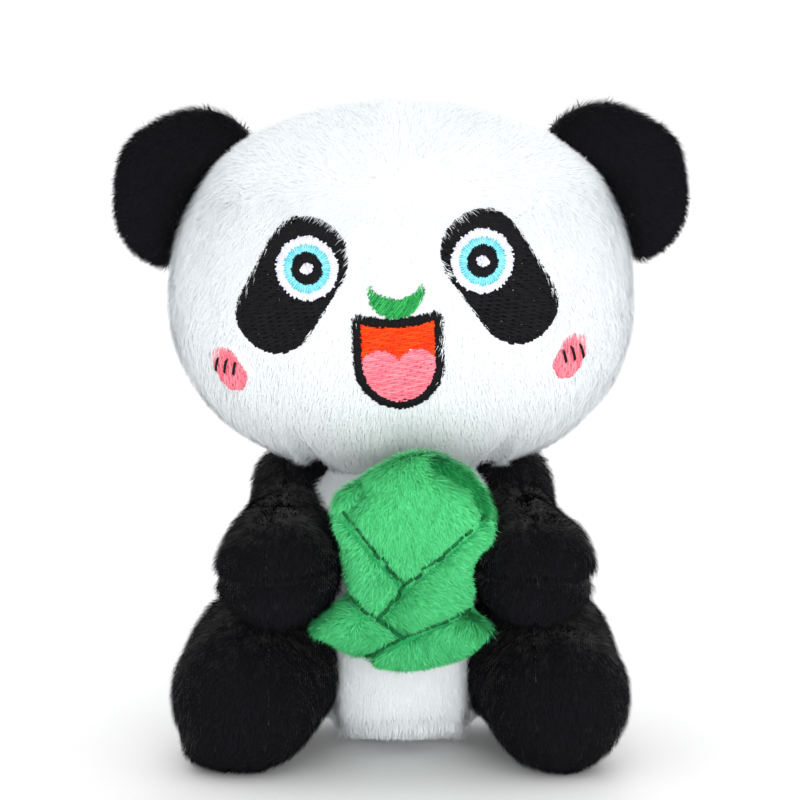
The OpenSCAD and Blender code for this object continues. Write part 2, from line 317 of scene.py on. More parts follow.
def between(tree, factor, first, second):
    """A colour mixed from first to second by a factor"""
    mixer = tree.nodes.new("ShaderNodeMix")
    mixer.data_type = "RGBA"
    tree.links.new(factor.out, mixer.inputs[0])
    for socket, value in ((mixer.inputs[6], first), (mixer.inputs[7], second)):
        if isinstance(value, Socket):
            tree.links.new(value.out, socket)
        else:
            socket.default_value = value
    return Socket(mixer.outputs[2])


def mark(tree, name):
    """A number that a piece's mesh carries at each point"""
    return node(tree, "ShaderNodeAttribute", {"attribute_name": name}, output=2)


def knit_finish(name, dark, light):
    """The knitted backing: small loops in rows, a little mottled"""
    material, tree, shader = finish(name, Roughness=0.9, Specular_IOR_Level=0.15, Sheen_Weight=0.2)
    spot = node(tree, "ShaderNodeTexCoord", {}, output=3)
    loops = node(
        tree, "ShaderNodeTexWave", {"wave_type": "BANDS"}, spot, Scale=900.0, Distortion=3.0, output=1
    )
    mottle = node(tree, "ShaderNodeTexNoise", {}, spot, Scale=240.0)
    bump = node(tree, "ShaderNodeBump", {}, Strength=0.5, Distance=0.0002, Height=loops)
    feed(tree, shader, Base_Color=between(tree, mottle, dark, light), Normal=bump)
    return material


def cut(form, *seams):
    """A copy of a form, kept behind each seam plane, given as a point and the way out of the panel"""
    part = form.copy()
    for point, out in seams:
        bmesh.ops.bisect_plane(
            part, geom=part.verts[:] + part.edges[:] + part.faces[:], dist=1e-4,
            plane_co=point, plane_no=out, clear_outer=True,
        )
    return part


def open_at(part, centre, radius):
    """Takes away the fabric inside a ball, where the neck goes in"""
    inside = [v for v in part.verts if (v.co - centre).length < radius]
    bmesh.ops.delete(part, geom=inside, context="VERTS")
    return part


def dress(made, material, slot, body, nodes=(), blend=None):
    """Gives a piece its material and its body, or with a blend only bakes its place into its mesh and leaves
    it without a body; slot is not used
    """
    made.data.materials.append(material)
    if nodes:
        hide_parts(*nodes)
    if blend:
        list(blend[:2])
        [c * mm for c in blend[2]]
        [c * mm for c in blend[3]]
        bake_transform(made)
    else:
        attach(made, body)


def filling(name, form, body, *nodes, inset=1.7, blend=None, clear=None):
    """The fibre fill inside a form: a lumpy mass a little smaller than its cover"""
    mass = form.copy()
    lumps = waves(len(name), 9)
    crease(mass, lambda points: inset + 0.3 + 0.3 * lumps(points))
    if clear is not None:
        move(mass, clear(places(mass)))
    dress(as_object(name, mass), fill_material, "fibre_fill", body, nodes, blend)


def panel(name, part, material, slot, body, *nodes, blend=None):
    """One sewn panel as an object: the cut part with the thickness of its backing"""
    made = as_object(name, part)
    backing = made.modifiers.new("backing", "SOLIDIFY")
    backing.thickness = knit_t * mm
    backing.offset = -1
    dress(made, material, slot, body, nodes, blend)


fill_material, tree, shader = finish("fibre_fill", Roughness=0.85, Sheen_Weight=0.3)
spot = node(tree, "ShaderNodeTexCoord", {}, output=3)
wisps = node(tree, "ShaderNodeTexNoise", {}, spot, Scale=900.0, Detail=4.0, Distortion=1.5)
bump = node(tree, "ShaderNodeBump", {}, Strength=0.6, Distance=0.0003, Height=wisps)
# painted shade: the fill's colour darkens with the height of its wisps, in their hollows
fluff = between(tree, wisps, colour(214, 214, 208), colour(246, 246, 242))
feed(tree, shader, Base_Color=fluff, Normal=bump)
knit_white = knit_finish("white_knit", colour(242, 244, 247), colour(250, 251, 253))
seam = 0.02
face_part = open_at(cut(head_form, ((0, ear_seam_y - seam, 0), (0, 1, 0))), neck, neck_hollow_r)
panel("head_face_panel", face_part, knit_white, "white_plush", "head", "face_panel")
back_parts = {}
for side, name in ((1, "left"), (-1, "right")):
    seams = ((0, ear_seam_y + seam, 0), (0, -1, 0)), ((side * seam, 0, 0), (-side, 0, 0))
    back_parts[name] = open_at(cut(head_form, *seams), neck, neck_hollow_r)
    panel(f"head_back_panel_{name}", back_parts[name], knit_white, "white_plush", "head", f"head_back_{name}")


def off_neck(points):
    """Keeps the head's fill out of the hollow over the neck"""
    room = neck_hollow_r + 1.2
    away = points - np.array(neck)
    away[:, 2] = np.abs(away[:, 2])
    far = np.linalg.norm(points - np.array(neck), axis=1, keepdims=True)
    return np.where(far < room, np.array(neck) + unit_rows(away) * room, points)


filling("head_fibre_fill", head_core, "head", "head_stuffing", clear=off_neck)

# ---- Embroidery: shapes on the face ----
# The face is machine embroidery. Each shape is an outline on a flat hoop, laid out in mm from the
# middle of the head, and every stitch is then sewn onto the round face under it.

face_roll = math.radians(2.5)
face_shift = -1.0
eye = np.array([16.5, 8.8])
eye_white_r, iris_r, pupil_r, glint_r = 5.8, 4.5, 3.0, 1.2
patch_low, patch_low_r = np.array([23.1, 0.3]), 7.5
patch_high, patch_high_r = np.array([16.7, 10.4]), 7.9
blush_low, blush_low_r = np.array([31.8, -12.6]), 2.6
blush_high, blush_high_r = np.array([33.6, -9.2]), 2.4
mouth_half_w, mouth_line_w, mouth_side_z, mouth_depth = 8.5, 1.5, -9.5, 9.2


def in_egg(spots, low_end, low_r, high_end, high_r):
    """How far inside an egg each spot is: two circles and the taper between them"""
    axis = high_end - low_end
    t = np.clip((spots - low_end) @ axis / (axis @ axis), 0, 1)
    return low_r + (high_r - low_r) * t - np.linalg.norm(spots - low_end - t[:, None] * axis, axis=1)


def in_patch(spots):
    """How far inside an eye patch each spot is, outside the eye"""
    egg = in_egg(spots, patch_low, patch_low_r, patch_high, patch_high_r)
    return np.minimum(egg, np.linalg.norm(spots - eye, axis=1) - eye_white_r + 0.4)


def in_mouth(spots, inset=0):
    """How far inside the mouth each spot is, with its dipped top edge and round chin"""
    x, z = spots.T
    half = mouth_half_w - inset
    top = 0.3 - inset - 1.4 * (1 - (x / mouth_half_w) ** 2)
    sides = half - np.abs(x)
    chin = (half + mouth_depth - inset) / 2 * (
        1 - np.hypot(x / half, np.minimum(z - mouth_side_z, 0) / (mouth_depth - inset))
    )
    return np.minimum(np.minimum(top - z, sides), chin)


def in_tongue(spots):
    """How far inside the heart-topped tongue each spot is"""
    lobes = np.max([4.4 - np.linalg.norm(spots - (x, -11.4), axis=1) for x in (-3.6, 3.6)], axis=0)
    below = np.maximum(lobes, -11.4 - spots[:, 1])
    return np.minimum(in_mouth(spots, mouth_line_w - 0.2), below)


def in_nose(spots):
    """How far inside the crescent nose each spot is"""
    outer = 5.2 - np.linalg.norm(spots - (0, 4.3), axis=1)
    return np.minimum(outer, np.linalg.norm(spots - (0, 8.3), axis=1) - 5.7)


def in_blush(spots):
    """How far inside a cheek's blush each spot is"""
    return in_egg(spots, blush_low, blush_low_r, blush_high, blush_high_r)


def rows(inside, centre, angle, pitch, stitch, seed, ragged=0.25):
    """Fill stitches over a shape: rows a pitch apart, broken into stitches like bricks"""
    draw = np.random.default_rng(seed)
    along = np.array([math.cos(angle), math.sin(angle)])
    across = np.array([-along[1], along[0]])
    reach = 20.0
    steps = np.arange(-reach, reach, 0.1)
    found = []
    for number, offset in enumerate(np.arange(-reach, reach, pitch)):
        line = centre + offset * across + steps[:, None] * along
        hits = np.flatnonzero(inside(line) > 0)
        if len(hits) < 4:
            continue
        for run in np.split(hits, np.flatnonzero(np.diff(hits) > 1) + 1):
            first = steps[run[0]] - draw.uniform(0, ragged)
            last = steps[run[-1]] + draw.uniform(0, ragged)
            breaks = np.arange(first - stitch * ((number * 0.37) % 1), last, stitch)
            ends = [first] + [b for b in breaks if first + 0.7 < b < last - 0.7] + [last]
            for a, b in zip(ends, ends[1:]):
                wobble = draw.normal(0, 0.035, 2)
                shift = centre + offset * across
                found.append((shift + a * along + wobble, shift + b * along + wobble))
    return found


def spokes(centre, inner_r, outer_r, pitch, seed, ragged=0.25):
    """Satin stitches round a ring"""
    draw = np.random.default_rng(seed)
    count = int(2 * math.pi * (inner_r + outer_r) / 2 / pitch)
    found = []
    for turn in np.arange(count) * 2 * math.pi / count:
        way = np.array([math.cos(turn), math.sin(turn)])
        a, b = inner_r - draw.uniform(0, ragged), outer_r + draw.uniform(0, ragged)
        found.append((centre + a * way, centre + b * way))
    return found


# ---- Embroidery: the thread ----
# Every stitch is two-ply rayon thread about 0.4 mm wide, flattened by the pull of its neighbours,
# with both ends going down through the backing.

thread_w, thread_h, thread_seed = 0.23, 0.17, 5


def struck(skin, start, way):
    """The point and the normal where a line from a start meets a skin"""
    hit, normal, _, _ = skin.ray_cast(Vector(start), Vector(way))
    return np.array(hit), np.array(normal)


def on_face(spot, mirrored=False):
    """The point and normal of the face under a spot of the hoop"""
    x = (-spot[0] if mirrored else spot[0]) + face_shift
    turned = Vector((x * math.cos(face_roll) - spot[1] * math.sin(face_roll), 0,
                     x * math.sin(face_roll) + spot[1] * math.cos(face_roll)))
    return struck(head_skin, head_centre + turned + Vector((0, -100, 0)), (0, 1, 0))


def one_stitch():
    """A stitch of unit length along Z: a six-sided thread that dips at both ends, across X and up Y"""
    unit = bmesh.new()
    ring = bmesh.ops.create_circle(unit, segments=6, radius=1, cap_ends=True)["verts"]
    rings = ((0, 0.5, -1.6), (0.14, 0.95, 0.3), (0.5, 1, 0.75), (0.86, 0.95, 0.3), (1, 0.5, -1.6))
    bmesh.ops.transform(unit, matrix=Matrix.Diagonal((rings[0][1], rings[0][1], 1, 1)), verts=ring)
    bmesh.ops.translate(unit, vec=(0, rings[0][2], 0), verts=ring)
    top = unit.faces[:]
    for (z0, r0, h0), (z, r, h) in zip(rings, rings[1:]):
        moved = bmesh.ops.extrude_face_region(unit, geom=top)["geom"]
        verts = [g for g in moved if isinstance(g, bmesh.types.BMVert)]
        lifted = Matrix.Translation((0, h, z)) @ Matrix.Diagonal((r / r0, r / r0, 1, 1))
        back = Matrix.Translation((0, -h0, -z0))
        bmesh.ops.transform(unit, matrix=lifted @ back, verts=verts)
        # the extrusion leaves the face it started from inside the thread
        if z0 > 0:
            bmesh.ops.delete(unit, geom=top, context="FACES_ONLY")
        top = [g for g in moved if isinstance(g, bmesh.types.BMFace)]
    bmesh.ops.recalc_face_normals(unit, faces=unit.faces)
    return unit


def copies(name, unit, starts, across, up, along, bend, marks, shade=None):
    """One mesh with a copy of a small unit mesh at each start. A unit point goes across by its X,
    up by its Y and along by its Z, and bends by the square of its Z. shade is a normal for each copy"""
    unit.verts.ensure_lookup_table()
    x, y, z = places(unit).T
    count, size = len(starts), len(x)
    points = starts[:, None] + x[:, None] * across[:, None] + y[:, None] * up[:, None]
    points = points + z[:, None] * along[:, None] + (z**2)[:, None] * bend[:, None]
    corners = np.concatenate([[v.index for v in f.verts] for f in unit.faces])
    sides = np.array([len(f.verts) for f in unit.faces])
    first = np.concatenate([[0], np.cumsum(sides)[:-1]])
    step = np.arange(count)[:, None]
    mesh = bpy.data.meshes.new(name)
    mesh.vertices.add(count * size)
    mesh.vertices.foreach_set("co", (points * mm).astype(np.float32).ravel())
    mesh.loops.add(count * len(corners))
    mesh.loops.foreach_set("vertex_index", (corners + step * size).astype(np.int32).ravel())
    mesh.polygons.add(count * len(sides))
    mesh.polygons.foreach_set("loop_start", (first + step * len(corners)).astype(np.int32).ravel())
    mesh.update(calc_edges=True)
    mesh.shade_smooth()
    if shade is not None:
        mesh.normals_split_custom_set_from_vertices(np.repeat(shade, size, axis=0))
    for key, values in {"rise": np.tile(z, count), **marks(count, size, x, y, z)}.items():
        layer = mesh.attributes.new(key, "FLOAT", "POINT")
        layer.data.foreach_set("value", np.asarray(values, np.float32).ravel())
    made = bpy.data.objects.new(name, mesh)
    bpy.context.scene.collection.objects.link(made)
    return made


stitch_unit = one_stitch()


def sew(name, ends, lift, material, slot, body, *nodes, width=thread_w, height=thread_h, under=()):
    """Stitches between pairs of points and normals, raised by a lift, as one piece with its underlay"""
    lift = np.array([lift] * len(ends) + [lift - 0.25] * len(under))[:, None]
    a, a_up, b, b_up = (np.array(column) for column in zip(*ends, *under))
    up = unit_rows(a_up + b_up)
    along = b - a
    across = unit_rows(np.cross(up, along))
    tones = np.random.default_rng(thread_seed).uniform(0, 1, len(a))
    lengths = np.linalg.norm(along, axis=1)

    def marks(count, size, x, y, z):
        return {
            "tone": np.repeat(tones, size),
            "run": lengths[:, None] * z,
            "turn": np.tile(np.arctan2(x, y), count),
        }

    made = copies(name, stitch_unit, a + up * lift, across * width, up * height, along, up * 0, marks)
    dress(made, material, slot, body, nodes)


def thread_finish(name, dark, light, gloss=0.5):
    """Shiny thread: two plies twisted round each other, each stitch a slightly different tone, with painted
    shade darkening the grooves between the plies
    """
    material, tree, shader = finish(name, Roughness=gloss, Specular_IOR_Level=0.18)
    tone = mark(tree, "tone")
    twist = mark(tree, "run") * 9 + mark(tree, "turn")
    ply = twist.maths("SINE") * 0.5 + 0.5
    # painted shade: the colour darkens with the ply's height, in the grooves
    shade = between(tree, tone * 0.7 + ply * 0.3, dark, light)
    bump = node(tree, "ShaderNodeBump", {}, Strength=0.5, Distance=0.00006, Height=ply)
    feed(tree, shader, Base_Color=shade, Normal=bump)
    return material


satin_black = thread_finish("black_thread", colour(8, 8, 10), colour(24, 23, 27), 0.7)
satin_white = thread_finish("white_thread", colour(200, 202, 226), colour(240, 240, 252))
satin_blue = thread_finish("blue_thread", colour(92, 200, 226), colour(156, 228, 242))
satin_green = thread_finish("green_thread", colour(22, 130, 62), colour(60, 178, 92))
satin_orange = thread_finish("orange_thread", colour(232, 44, 2), colour(250, 82, 20))
satin_pink = thread_finish("pink_thread", colour(240, 108, 128), colour(252, 150, 162))

for mirrored, side in ((False, "left"), (True, "right")):

    def down(found):
        return [on_face(a, mirrored) + on_face(b, mirrored) for a, b in found]

    patch = rows(in_patch, (patch_low + patch_high) / 2, math.radians(-14), 0.4, 3.4, 11)
    edge = [s for s in spokes(eye, eye_white_r, 8.6, 0.42, 12, 0.6)
            if in_egg(s[1][None], patch_low, patch_low_r + 0.5, patch_high, patch_high_r + 0.5)[0] > 0
            and in_egg(s[1][None], patch_low, patch_low_r - 1.2, patch_high, patch_high_r - 1.2)[0] < 0]
    under = rows(in_patch, (patch_low + patch_high) / 2, math.radians(76), 0.36, 3, 18, 0)
    sew(f"eye_patch_{side}_satin", down(patch + edge), 0.35, satin_black, "black_satin", "head",
        f"eye_patch_{side}", width=0.27, under=down(under))
    sew(f"eye_white_{side}_satin", down(spokes(eye, iris_r, eye_white_r, 0.36, 13, 0.5)), 0.5,
        satin_white, "white_satin", "head", f"eye_white_{side}")
    sew(f"iris_{side}_satin", down(spokes(eye, pupil_r - 0.2, iris_r, 0.4, 14, 0.7)), 0.45,
        satin_blue, "blue_satin", "head", f"iris_{side}")
    sew(f"pupil_{side}_satin", down(spokes(eye, glint_r, pupil_r, 0.3, 15, 0.45)), 0.55,
        satin_black, "black_satin", "head", f"pupil_{side}")
    glint = rows(lambda s: glint_r - np.linalg.norm(s - eye, axis=1), eye, math.radians(70), 0.32, 4, 16, 0.1)
    sew(f"eye_glint_{side}_satin", down(glint), 0.6, satin_white, "white_satin", "head", f"eye_glint_{side}")
    blush = rows(in_blush, (blush_low + blush_high) / 2, math.radians(80), 0.36, 3.6, 17, 0.5)
    under = rows(in_blush, (blush_low + blush_high) / 2, math.radians(-10), 0.36, 3, 19, 0)
    sew(f"cheek_blush_{side}_satin", down(blush), 0.4, satin_pink, "pink_satin", "head",
        f"cheek_blush_{side}", under=down(under))
    middle = (blush_low + blush_high) / 2 + (0.2, 0.6)
    strokes = [(middle + i * np.array([1.7, 0.2]) + (-0.2, 1.5),
                middle + i * np.array([1.7, 0.2]) + (0.5, -1.6)) for i in (-1, 0, 1)]
    sew(f"cheek_marks_{side}_satin", down(strokes), 0.75, satin_black, "black_satin", "head",
        f"cheek_marks_{side}", width=0.3)

mirrored = False


def in_fill(spots):
    """How far inside the orange of the mouth each spot is"""
    return np.minimum(in_mouth(spots, mouth_line_w - 0.3), -in_tongue(spots))


for part, inside, centre, lean, stitch, ragged, lift, material, slot in (
    ("mouth_fill", in_fill, (0, -5), 4, 3.5, 0.15, 0.35, satin_orange, "orange_satin"),
    ("tongue", in_tongue, (0, -12), 4, 3.3, 0.15, 0.38, satin_pink, "pink_satin"),
    ("nose", in_nose, (0, 2), 52, 4.5, 0.6, 0.55, satin_green, "green_satin"),
):
    top = rows(inside, np.array(centre), math.radians(lean), 0.4, stitch, 21, ragged)
    under = rows(inside, np.array(centre), math.radians(lean + 90), 0.36, 3, 22, 0)
    sew(f"{part}_satin", down(top), lift, material, slot, "head", part, under=down(under))


def mouth_edge():
    """Points along the middle of the mouth's outline, with the way out of the mouth at each"""
    inset = mouth_line_w / 2
    half = mouth_half_w - inset
    top = [(x, 0.3 - inset - 1.4 * (1 - (x / mouth_half_w) ** 2)) for x in np.arange(-half, half, 0.35)]
    right = [(half, z) for z in np.arange(top[-1][1], mouth_side_z, -0.35)]
    turns = np.arange(0, -math.pi, -0.35 / (half + 0.5))
    chin = [(half * math.cos(a), mouth_side_z + (mouth_depth - inset) * math.sin(a)) for a in turns]
    left = [(-half, z) for z in np.arange(mouth_side_z, top[0][1], 0.35)]
    line = np.array(top + right + chin + left)
    ahead = np.roll(line, -1, axis=0) - np.roll(line, 1, axis=0)
    return line, unit_rows(np.stack([-ahead[:, 1], ahead[:, 0]], 1))


line, outward = mouth_edge()
half_line = mouth_line_w / 2
ragged = np.random.default_rng(24).uniform(0, 0.45, (2, len(line), 1))
outline = list(zip(line - outward * (half_line + ragged[0]), line + outward * (half_line + ragged[1])))
sew("mouth_outline_satin", down(outline), 0.5, satin_black, "black_satin", "head", "mouth_outline")

# ---- Pile: the white plush of the head ----
# The pile is cut polyester fibre about 2.5 mm long, knitted into the backing and brushed down.
# It is left out where the embroidery covers it, and it stands over the edges of each shape.


def one_fibre():
    """A fibre of unit length along Z: a flat blade across X that ends in a point"""
    unit = bmesh.new()
    bmesh.ops.create_grid(unit, x_segments=1, y_segments=2, size=1)
    upright = Matrix(((1, 0, 0, 0), (0, 0, 0, 0), (0, 0.5, 0, 0.5), (0, 0, 0, 1)))
    bmesh.ops.transform(unit, matrix=upright, verts=unit.verts)
    tip = [v for v in unit.verts if v.co.z > 0.9]
    bmesh.ops.pointmerge(unit, verts=tip, merge_co=(0, 0, 1))
    return unit


fibre_unit = one_fibre()
fibre_sink = 0.15


def scatter(part, count, seed, bare=None):
    """Random roots over a part, by area, with the normal at each, and none where it is bare"""
    draw = np.random.default_rng(seed)
    part.verts.index_update()
    points = places(part)
    normals = np.array([v.normal for v in part.verts])
    tris = np.array([[loop.vert.index for loop in t] for t in part.calc_loop_triangles()])
    a, b, c = (points[tris[:, i]] for i in range(3))
    area = np.linalg.norm(np.cross(b - a, c - a), axis=1)
    picked = draw.choice(len(tris), int(count), p=area / area.sum())
    u, v = np.sort(draw.uniform(0, 1, (2, int(count))), axis=0)
    share = np.stack([u, v - u, 1 - v])[:, :, None]
    roots = sum(s * points[tris[picked, i]] for i, s in enumerate(share))
    up = unit_rows(sum(s * normals[tris[picked, i]] for i, s in enumerate(share)))
    if bare is not None:
        keep = ~bare(roots)
        roots, up = roots[keep], up[keep]
    return roots, up, draw


def pile(name, part, count, length, comb, material, slot, body, seed, lean=1.5, width=0.06,
         stray=0.2, tuft=3.0, strand=0.3, bare=None, painted_shade=None, blend=None):
    """Fibres over a part. comb gives the way they are brushed, lean how far, and tufts of them
    share a lean. strand is how much each fibre catches the light by itself, and a painted shade, where given,
    darkens each fibre's colour where shade would fall"""
    roots, up, draw = scatter(part, count, seed, bare)
    size = len(roots)
    way = comb(roots, up)
    way = unit_rows(way - (way * up).sum(1, keepdims=True) * up)
    tufts = np.stack([waves(seed + i, tuft)(roots) for i in (1, 2, 3)], 1)
    drift = np.stack([waves(seed + i, tuft * 5)(roots) for i in (4, 5, 6)], 1)
    way = way + 0.16 * tufts + 0.16 * drift + stray * draw.normal(size=(size, 3))
    way = lean * (way - (way * up).sum(1, keepdims=True) * up)
    direction = unit_rows(up + way)
    lengths = length * draw.uniform(0.72, 1.1, (size, 1))
    across = unit_rows(np.cross(direction, up)) * width * draw.uniform(0.7, 1.25, (size, 1))
    # each fibre's tone is random, less any painted shade
    tones = draw.uniform(0, 1, size) - (0 if painted_shade is None else painted_shade(roots))

    def marks(count, size, x, y, z):
        return {"tone": np.repeat(tones, size)}

    bend = way * lengths * 0.35
    shade = unit_rows(unit_rows(np.cross(across, direction)) * strand + up)
    starts = roots - up * fibre_sink
    made = copies(name, fibre_unit, starts, across, up * 0, direction * lengths, bend, marks, shade)
    dress(made, material, slot, body, blend=blend)


def pile_finish(name, root, tip, sheen, rough=0.75, dark_tone=0.82, shine=0.2, deep=(0, 0, 0, 1)):
    """Pile fibre: darker at the root and lighter at the tip as painted shade where the fibres shade each
    other, and each fibre a little different in tone; painted shade given to a pile takes its tone further
    towards deep
    """
    material, tree, shader = finish(
        name, Roughness=rough, Specular_IOR_Level=shine, Sheen_Weight=sheen, Sheen_Roughness=0.5
    )
    tone = mark(tree, "tone") * (1 - dark_tone) + dark_tone
    # painted shade: the colour runs from a shaded root to a lit tip
    shade = between(tree, mark(tree, "rise") ** 0.7, root, tip)
    feed(tree, shader, Base_Color=between(tree, tone, deep, shade))
    return material


pile_white = pile_finish("white_pile", colour(236, 240, 244), colour(248, 252, 254), 0.1, dark_tone=0.95)


def brushed(*way):
    """A comb that brushes everything one way"""
    fixed = np.array(way, float)
    return lambda roots, up: np.tile(fixed, (len(roots), 1))


def face_comb(roots, up):
    """The face is brushed down and away from its middle, and the crown back and to both sides"""
    out = roots - np.array([0, 0, 100.0])
    out[:, 1] = 0
    down = unit_rows(out) * 0.45 + np.array([0, -0.35, -0.85])
    parted = np.tanh(roots[:, 0] / 8)[:, None] * np.array([0.8, 0, 0]) + np.array([0, 0.9, 0])
    share = np.clip((roots[:, 2] - head_centre.z - 19) / 9, 0, 1)[:, None]
    return down * (1 - share) + parted * share


def face_bare(roots):
    """True where a fibre would grow or fall over the embroidery, apart from the last ones at its edges"""
    fall = face_comb(roots, None) * 1.8
    return face_covered(roots) | face_covered(roots + fall)


def face_covered(roots):
    """True under the embroidery"""
    x = roots[:, 0] * math.cos(face_roll) + (roots[:, 2] - head_centre.z) * math.sin(face_roll) - face_shift
    z = -roots[:, 0] * math.sin(face_roll) + (roots[:, 2] - head_centre.z) * math.cos(face_roll)
    spots = np.stack([np.abs(x), z], 1)
    centred = np.stack([x, z], 1)
    margin = 0.1
    covered = in_egg(spots, patch_low, patch_low_r, patch_high, patch_high_r) > margin
    covered |= in_blush(spots) > margin
    covered |= (in_mouth(centred) > margin) | (in_nose(centred) > margin)
    return covered & (roots[:, 1] < 0)


for name, half, seed in (("crown", 1, 31), ("cheeks", -1, 32)):

    def face_half(roots, half=half):
        """True off this half of the face or under its embroidery"""
        return ((roots[:, 2] - head_centre.z) * half < 0) | face_bare(roots)

    pile(f"head_face_pile_{name}", face_part, 106000, 2.1, face_comb, pile_white, "white_plush", "head",
         seed, bare=face_half)
for name, part in back_parts.items():
    pile(f"head_back_pile_{name}", part, 34000, 2.2, brushed(0, 0.3, -1), pile_white, "white_plush",
         "head", 33)

# ---- Ears ----
# Each ear is two half-discs of black plush sewn round the rim, turned out and filled a little.
# Its root is caught in the seam between the face and the back of the head, so it folds there.

black_knit = knit_finish("black_knit", colour(9, 9, 11), colour(17, 17, 20))
pile_black = pile_finish("black_pile", colour(15, 15, 18), colour(34, 34, 38), 0.0, rough=0.9,
                         dark_tone=0.6, shine=0.06)
black_w = 0.075
ear_r, ear_half_t, ear_middle, ear_bow = 16.4, 5.4, 6.5, 1 / 60


def pillow(outline, half_t, sharp):
    """A flat stuffed form about its middle, round in XZ by an outline and crowned along Y"""
    form = bmesh.new()
    bmesh.ops.create_icosphere(form, subdivisions=5, radius=1)
    rays = places(form)
    angle = np.arctan2(rays[:, 2], rays[:, 0])
    spread = np.hypot(rays[:, 0], rays[:, 2])
    reach = outline(angle) * spread
    crown = half_t * np.sign(rays[:, 1]) * np.abs(rays[:, 1]) ** sharp
    move(form, np.stack([reach * np.cos(angle), crown, reach * np.sin(angle)], 1))
    return form


def ear_outline(angle):
    """Distance from an ear's middle to its rim, a little squared, or to the bowed line of its root"""
    c, s = np.cos(angle), np.sin(angle)
    rim = -ear_middle * c + np.sqrt(ear_r**2 - (ear_middle * s) ** 2)
    bow = c * c - 4 * ear_bow * s * s * ear_middle
    root = np.where((c < 0) & (bow > 0), 2 * ear_middle / (-c + np.sqrt(np.maximum(bow, 0)) + 1e-6), 99)
    rim = rim * (1 + 0.03 * np.cos(4 * angle))
    return (rim**-10 + root**-10) ** (-1 / 10)


for side, name in ((1, "left"), (-1, "right")):
    fold, along = joint(f"ear_fold_{name}")
    out = side * Vector((0, 1, 0)).cross(along)
    ear = pillow(ear_outline, ear_half_t, 1.15)
    axes = Matrix((out, (0, 1, 0), along)).transposed().to_4x4()
    middle = fold + out * (ear_middle - 5.2)
    bmesh.ops.transform(ear, matrix=Matrix.Translation(middle) @ axes, verts=ear.verts)
    if axes.determinant() < 0:
        bmesh.ops.reverse_faces(ear, faces=ear.faces)
    ear.normal_update()
    stuff(ear, 1.5, 0.5, seams=lambda p: near(p[:, 1] - ear_seam_y, 1.2))
    bends = ("head", f"ear_{name}", fold - out * 3, fold + out * 2.5)
    filling(f"ear_fibre_fill_{name}", ear, "head", f"ear_stuffing_{name}", inset=1.2, blend=bends)
    crease(ear, lambda p: 0.5 * near(p[:, 1] - ear_seam_y, 0.9))
    for facing, part_name in ((1, "front"), (-1, "back")):
        part = cut(ear, ((0, ear_seam_y - facing * seam, 0), (0, facing, 0)))
        node_name = f"ear_{part_name}_{name}"
        panel(node_name + "_panel", part, black_knit, "black_plush", "head", node_name, blend=bends)
        way = np.array(out) * 0.6 + (0, 0, -0.8)
        pile(node_name + "_pile", part, 8500, 2.1, brushed(*way), pile_black, "black_plush", "head",
             41 + facing, width=black_w, stray=0.3, blend=bends)

# ---- Torso ----
# The torso is a pear of white plush with a black yoke over its back and shoulders. A round base
# lets it sit, and the middle seam of the back is where it was filled and then closed by hand.

torso_r, torso_wide_z, seat_r, belly_half_w = 25, 17, 14, 12.6
shoulder_r, shoulder_z, collar_z, ball_r, slope_power = 13, 53, 52, 13.5, 0.91
side_seam_y, yoke_z, base_z = -3, 36, 2


def torso_radius(z):
    """Radius of the torso at a height: a round base, sloping shoulders and the ball of the neck"""
    below = (torso_wide_z - z) / torso_wide_z
    low_part = seat_r + (torso_r - seat_r) * np.sqrt(np.clip(1 - below**2, 0, 1))
    rise = np.clip((z - torso_wide_z) / (shoulder_z - torso_wide_z), 0, 1)
    slope = shoulder_r + (torso_r - shoulder_r) * (1 - rise ** (2 / slope_power)) ** (slope_power / 2)
    ball = np.sqrt(np.clip(ball_r**2 - (z - neck.z) ** 2, 0, None))
    return np.where(z < torso_wide_z, low_part, np.where(z < shoulder_z, slope, ball))


heights = np.concatenate([
    [0],
    torso_wide_z - torso_wide_z * np.cos(np.linspace(0.12, 1.5, 12)),
    np.linspace(19, shoulder_z, 16),
    neck.z + 13.4 * np.sin(np.linspace(-0.2, 1.5, 10)),
])
profile = bmesh.new()
line_verts = [profile.verts.new((0, 0, 0))]
line_verts += [profile.verts.new((float(torso_radius(z)), 0, float(z))) for z in heights]
line_verts.append(profile.verts.new((0, 0, neck.z + ball_r)))
for a, b in zip(line_verts, line_verts[1:]):
    profile.edges.new((a, b))
bmesh.ops.spin(profile, geom=profile.verts[:] + profile.edges[:], cent=(0, 0, 0), axis=(0, 0, 1),
               angle=2 * math.pi, steps=72, use_merge=True)
bmesh.ops.remove_doubles(profile, verts=profile.verts, dist=0.01)
bmesh.ops.recalc_face_normals(profile, faces=profile.faces)
torso_form = remeshed(profile, passes=3)


def slim(points):
    """Draws the belly in and up between the legs, and lets the chest fill out under the chin"""
    x, y, z = points.T
    front = np.clip((side_seam_y - y) / 5, 0, 1)
    room = belly_half_w + 6 * near(z - collar_z, 4.5)
    over = np.maximum(np.abs(x) - room + 1.5, 0)
    narrow = np.minimum(np.abs(x), room - 1.5) + 1.5 * np.tanh(over / 3)
    chest = 5.5 * near(z - collar_z, 4.2) * np.clip((4 - y) / 10, 0, 1)
    swell = chest / np.hypot(x, y + 0.01)
    low = np.clip(1 - z / 12, 0, 1)
    wide = np.sign(x) * (np.abs(x) + (narrow - np.abs(x)) * front) + swell * x
    wide *= 1 - 0.5 * low * np.clip((y + 10) / 8, 0, 1)
    tall = np.where(z < 0.6, 0.3 + 0.5 * z, z) + 3.6 * np.clip((-4 - y) / 10, 0, 1) * low
    return np.stack([wide, y + swell * y, tall], 1)


move(torso_form, slim(places(torso_form)))
stuff(torso_form, 2.0, 0.8, seams=lambda p: np.maximum(near(p[:, 2] - 1, 2), p[:, 2] > 48))
filling("torso_fibre_fill", torso_form, "torso", "torso_stuffing")
torso_form = finer(torso_form)


